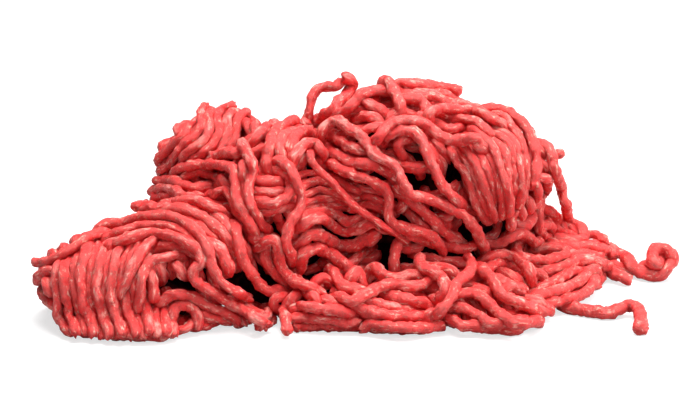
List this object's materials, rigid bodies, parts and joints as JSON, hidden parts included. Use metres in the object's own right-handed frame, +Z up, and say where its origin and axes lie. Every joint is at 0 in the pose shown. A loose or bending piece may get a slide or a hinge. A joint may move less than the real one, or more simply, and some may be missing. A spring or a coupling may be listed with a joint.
{
  "type": "heap of raw minced beef",
  "caption": "Low heap of raw minced beef: folded sheaves of soft round strands with loose strands trailed over and around them, lying on a flat base.",
  "frame": {"origin": "on the surface that the heap lies on, under the middle of its box", "axes": "+X to the right along the heap, +Y away from its front, +Z up"},
  "size_m": [0.244, 0.1175, 0.0814],
  "materials": {
    "raw_beef": "moist raw meat, soft satin, flecked with pale fat"
  },
  "bodies": {
    "root": {"mince_heap": "raw_beef"}
  },
  "joints": []
}
